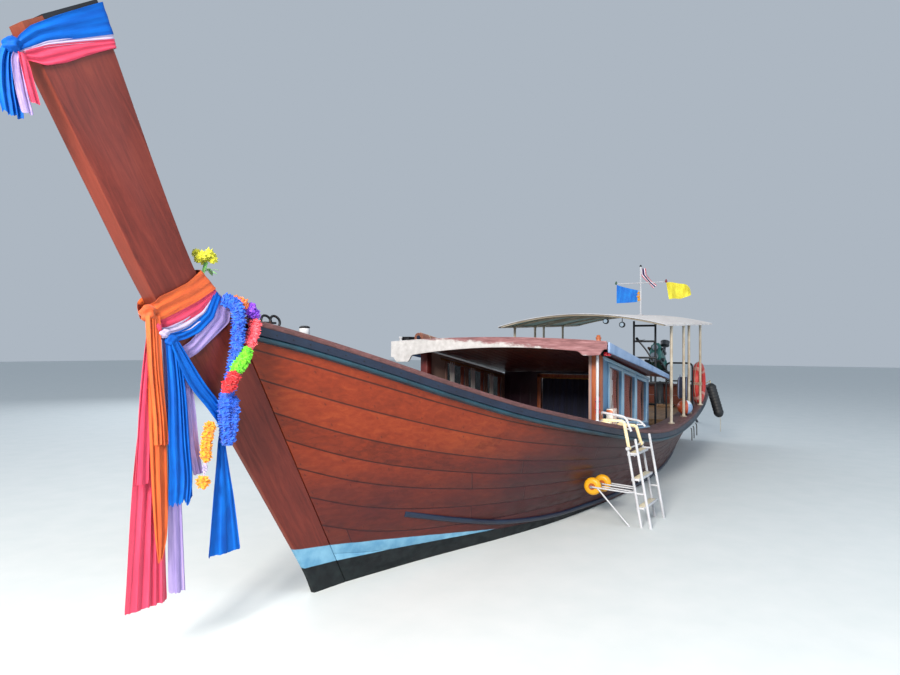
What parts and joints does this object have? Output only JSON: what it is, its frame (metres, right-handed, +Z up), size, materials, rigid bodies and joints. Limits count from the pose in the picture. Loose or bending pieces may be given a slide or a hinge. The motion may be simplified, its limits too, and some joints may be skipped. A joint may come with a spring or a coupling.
{
  "type": "longtail boat",
  "caption": "Wooden longtail boat afloat, with a raised prow, cabin, canopy, boarding ladder and a long-shafted engine that swivels and tilts.",
  "frame": {"origin": "centre plane and waterline, 5 m aft of the point where the stem enters the water", "axes": "+X to the bow along the waterline, +Y to port, +Z up"},
  "size_m": [16.081, 2.9006, 3.8459],
  "materials": {
    "hull_wood": "varnished, reddish brown",
    "cap_wood": "weathered varnish",
    "deck_wood": "worn, oiled",
    "rail_paint": "navy and teal enamel",
    "frame_paint": "blue grey enamel",
    "white_paint": "weathered white enamel",
    "cream_paint": "cream enamel",
    "steel": "stainless, brushed",
    "dark_steel": "dark enamel",
    "engine_paint": "oily enamel",
    "bronze": "worn bronze",
    "buoy": "faded orange red",
    "yellow_plastic": "yellow, scuffed",
    "bag_cloth": "navy nylon",
    "fender_rubber": "matt black",
    "canvas": "coated canvas",
    "flag_cloth": "plain light cloth",
    "curtain_cloth": "thin woven cloth",
    "ribbon": "satin and voile ribbons in plain colours",
    "garland": "folded ribbon flowers"
  },
  "bodies": {
    "hull": {"aft_bulkhead": "cap_wood", "aft_deck": "deck_wood", "ball_float": "buoy", "bench_port": "deck_wood", "bench_starboard": "deck_wood", "bollard": "white_paint", "bow_ring": "dark_steel", "cabin_roof": "cap_wood", "cabin_sole": "deck_wood", "canopy_cover": "canvas", "canopy_frame": "white_paint", "curtains_port": "curtain_cloth", "curtains_starboard": "curtain_cloth", "engine_post": "dark_steel", "fender": "fender_rubber", "flag_blue": "flag_cloth", "flag_striped": "flag_cloth", "flag_yellow": "flag_cloth", "foredeck": "deck_wood", "garland_loops": "garland", "grab_pole": "white_paint", "guard_rail_port": "dark_steel", "guard_rail_starboard": "dark_steel", "gunwale_port": "cap_wood", "gunwale_starboard": "cap_wood", "head_wrap": "ribbon", "hull_shell": "hull_wood", "ladder_frame": "cream_paint", "lifebuoy": "buoy", "mast": "white_paint", "prow_ribbons": "ribbon", "roof_box": "dark_steel", "roof_fascia": "white_paint", "roof_ladder": "dark_steel", "roof_roll": "canvas", "rub_rail_port": "rail_paint", "rub_rail_starboard": "rail_paint", "side_wall_port": "frame_paint", "side_wall_starboard": "frame_paint", "stem_post": "hull_wood", "stowage_bag": "bag_cloth", "strake_port": "rail_paint", "strake_starboard": "rail_paint", "transom_cap": "cap_wood"},
    "engine_swivel": {"engine_fork": "dark_steel"},
    "engine_tilt": {"engine_bed": "dark_steel", "engine_block": "engine_paint", "exhaust": "dark_steel", "air_cleaner": "dark_steel", "tiller": "steel", "tail_tube": "dark_steel"},
    "propeller": {"propeller": "bronze"},
    "ladder": {"boarding_ladder": "white_paint", "roller_aft": "yellow_plastic", "roller_fore": "yellow_plastic"}
  },
  "joints": [
    {"name": "engine_steer", "type": "hinge", "parent": "hull", "child": "engine_swivel", "pos_m": [-4.78, 0, 1.08], "axis": [0, 0, 1], "range_deg": [-35, 35]},
    {"name": "engine_tilt", "type": "hinge", "parent": "engine_swivel", "child": "engine_tilt", "pos_m": [-4.78, 0, 1.26], "axis": [0, 1, 0], "range_deg": [-4, 24]},
    {"name": "propeller_spin", "type": "hinge", "parent": "engine_tilt", "child": "propeller", "pos_m": [-8.889, 0, -0.2056], "axis": [0.9298, 0, 0.3681], "continuous": true},
    {"name": "ladder_hinge", "type": "hinge", "parent": "hull", "child": "ladder", "pos_m": [1.755, 1.352, 0.745], "axis": [1, 0, 0], "range_deg": [0, 100]}
  ]
}
